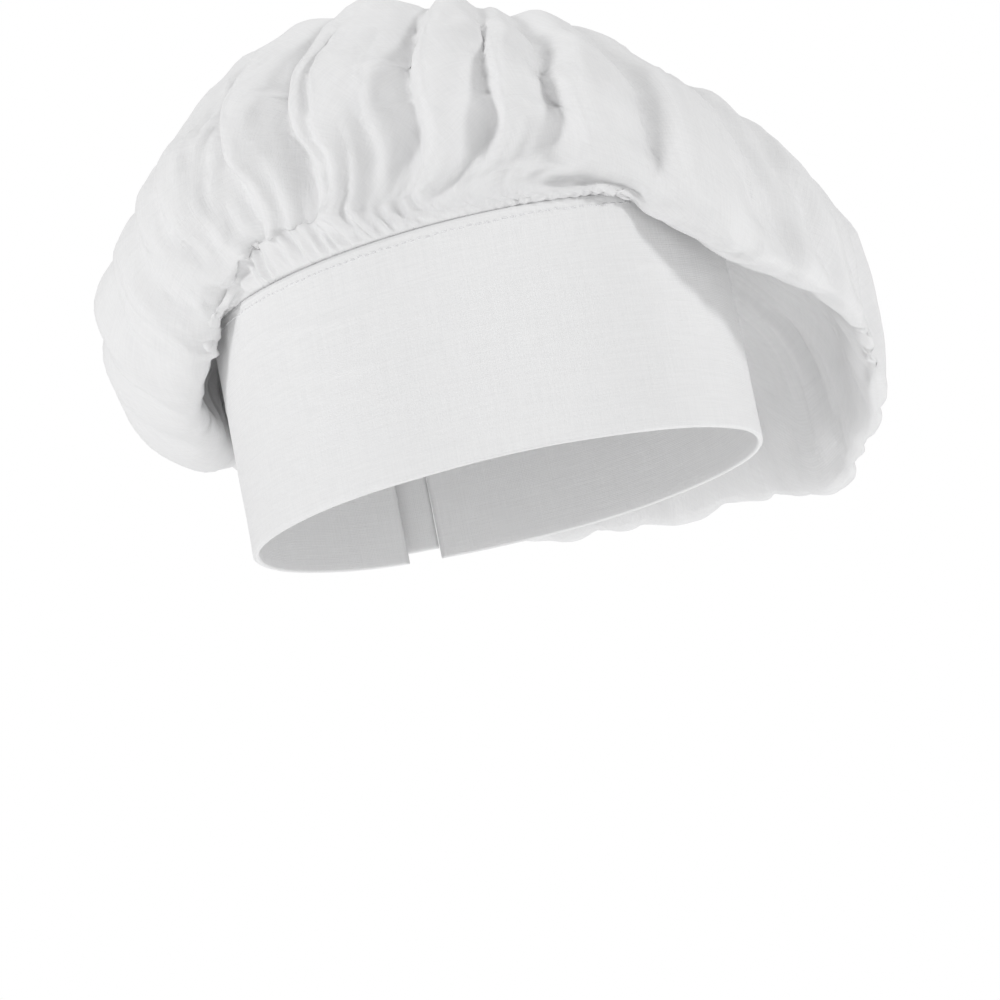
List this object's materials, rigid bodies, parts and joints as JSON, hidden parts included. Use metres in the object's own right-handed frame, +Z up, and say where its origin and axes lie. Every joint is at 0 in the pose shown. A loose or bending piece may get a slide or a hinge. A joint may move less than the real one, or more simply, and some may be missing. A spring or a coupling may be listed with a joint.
{
  "type": "adjustable chef hat",
  "caption": "Soft white cotton chef's hat: a round gathered crown flopped over a plain upright oval band, with a hook-and-loop strap at the back.",
  "frame": {"origin": "centre of the head opening, on the plane of the band's lower edge", "axes": "+Z up the band, -Y the forehead, +Y the closure, +X the wearer's left"},
  "size_m": [0.2662, 0.265, 0.1518],
  "materials": {
    "crown_cotton": "thin bleached cotton, plain weave, crushed and gathered",
    "band_cotton": "bleached cotton, plain weave, pressed flat",
    "interfacing": "bonded non-woven interfacing",
    "thread": "spun polyester sewing thread",
    "hook_nylon": "nylon hook tape",
    "loop_nylon": "brushed nylon loop tape",
    "label_satin": "blank woven satin label"
  },
  "bodies": {
    "hat": {"crown_cloth": "crown_cotton", "band_cloth": "band_cotton", "band_interfacing": "interfacing", "crown_seam_stitch": "thread", "crown_seam_overlock": "thread", "gathering_thread": "thread", "crown_back_binding": "band_cotton", "bar_tack_left": "thread", "bar_tack_right": "thread", "loop_tape": "loop_nylon", "loop_tape_stitch": "thread", "care_label": "label_satin"},
    "strap": {"strap_cloth": "band_cotton", "strap_interfacing": "interfacing", "strap_edge_stitch": "thread", "strap_seam_stitch": "thread", "hook_tape": "hook_nylon", "hook_tape_stitch": "thread"}
  },
  "joints": [
    {"name": "strap_peel", "type": "hinge", "parent": "hat", "child": "strap", "pos_m": [0.02153, 0.10258, 0.02], "axis": [0, 0, -1], "range_deg": [0, 30]}
  ]
}
